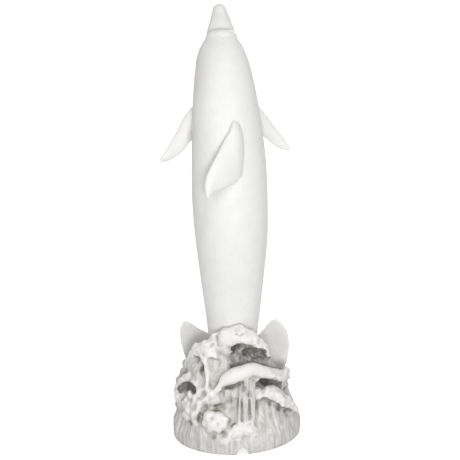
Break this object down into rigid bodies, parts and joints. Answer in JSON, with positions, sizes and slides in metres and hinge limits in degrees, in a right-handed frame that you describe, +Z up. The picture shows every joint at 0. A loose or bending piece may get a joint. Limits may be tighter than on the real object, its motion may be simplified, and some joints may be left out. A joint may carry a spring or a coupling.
{
  "type": "dolphin spitter statue",
  "caption": "Garden spitter: a leaping dolphin on a round base of breaking waves, cast hollow, with a hose way under the rim and a water tube up to the beak.",
  "frame": {"origin": "middle of the base's underside, on the surface that the statue stands on", "axes": "+Z up; the dolphin's back faces -Y and its belly +Y, so the water leaves upwards and towards +Y"},
  "size_m": [0.302, 0.3152, 0.9998],
  "materials": {
    "cast_stone": "satin white with a grey-brown wash in the hollows",
    "clear_vinyl": "smooth, milky",
    "black_nylon": "smooth"
  },
  "bodies": {
    "root": {"statue": "cast_stone", "water_tube": "clear_vinyl", "hose_fitting": "black_nylon"}
  },
  "joints": []
}
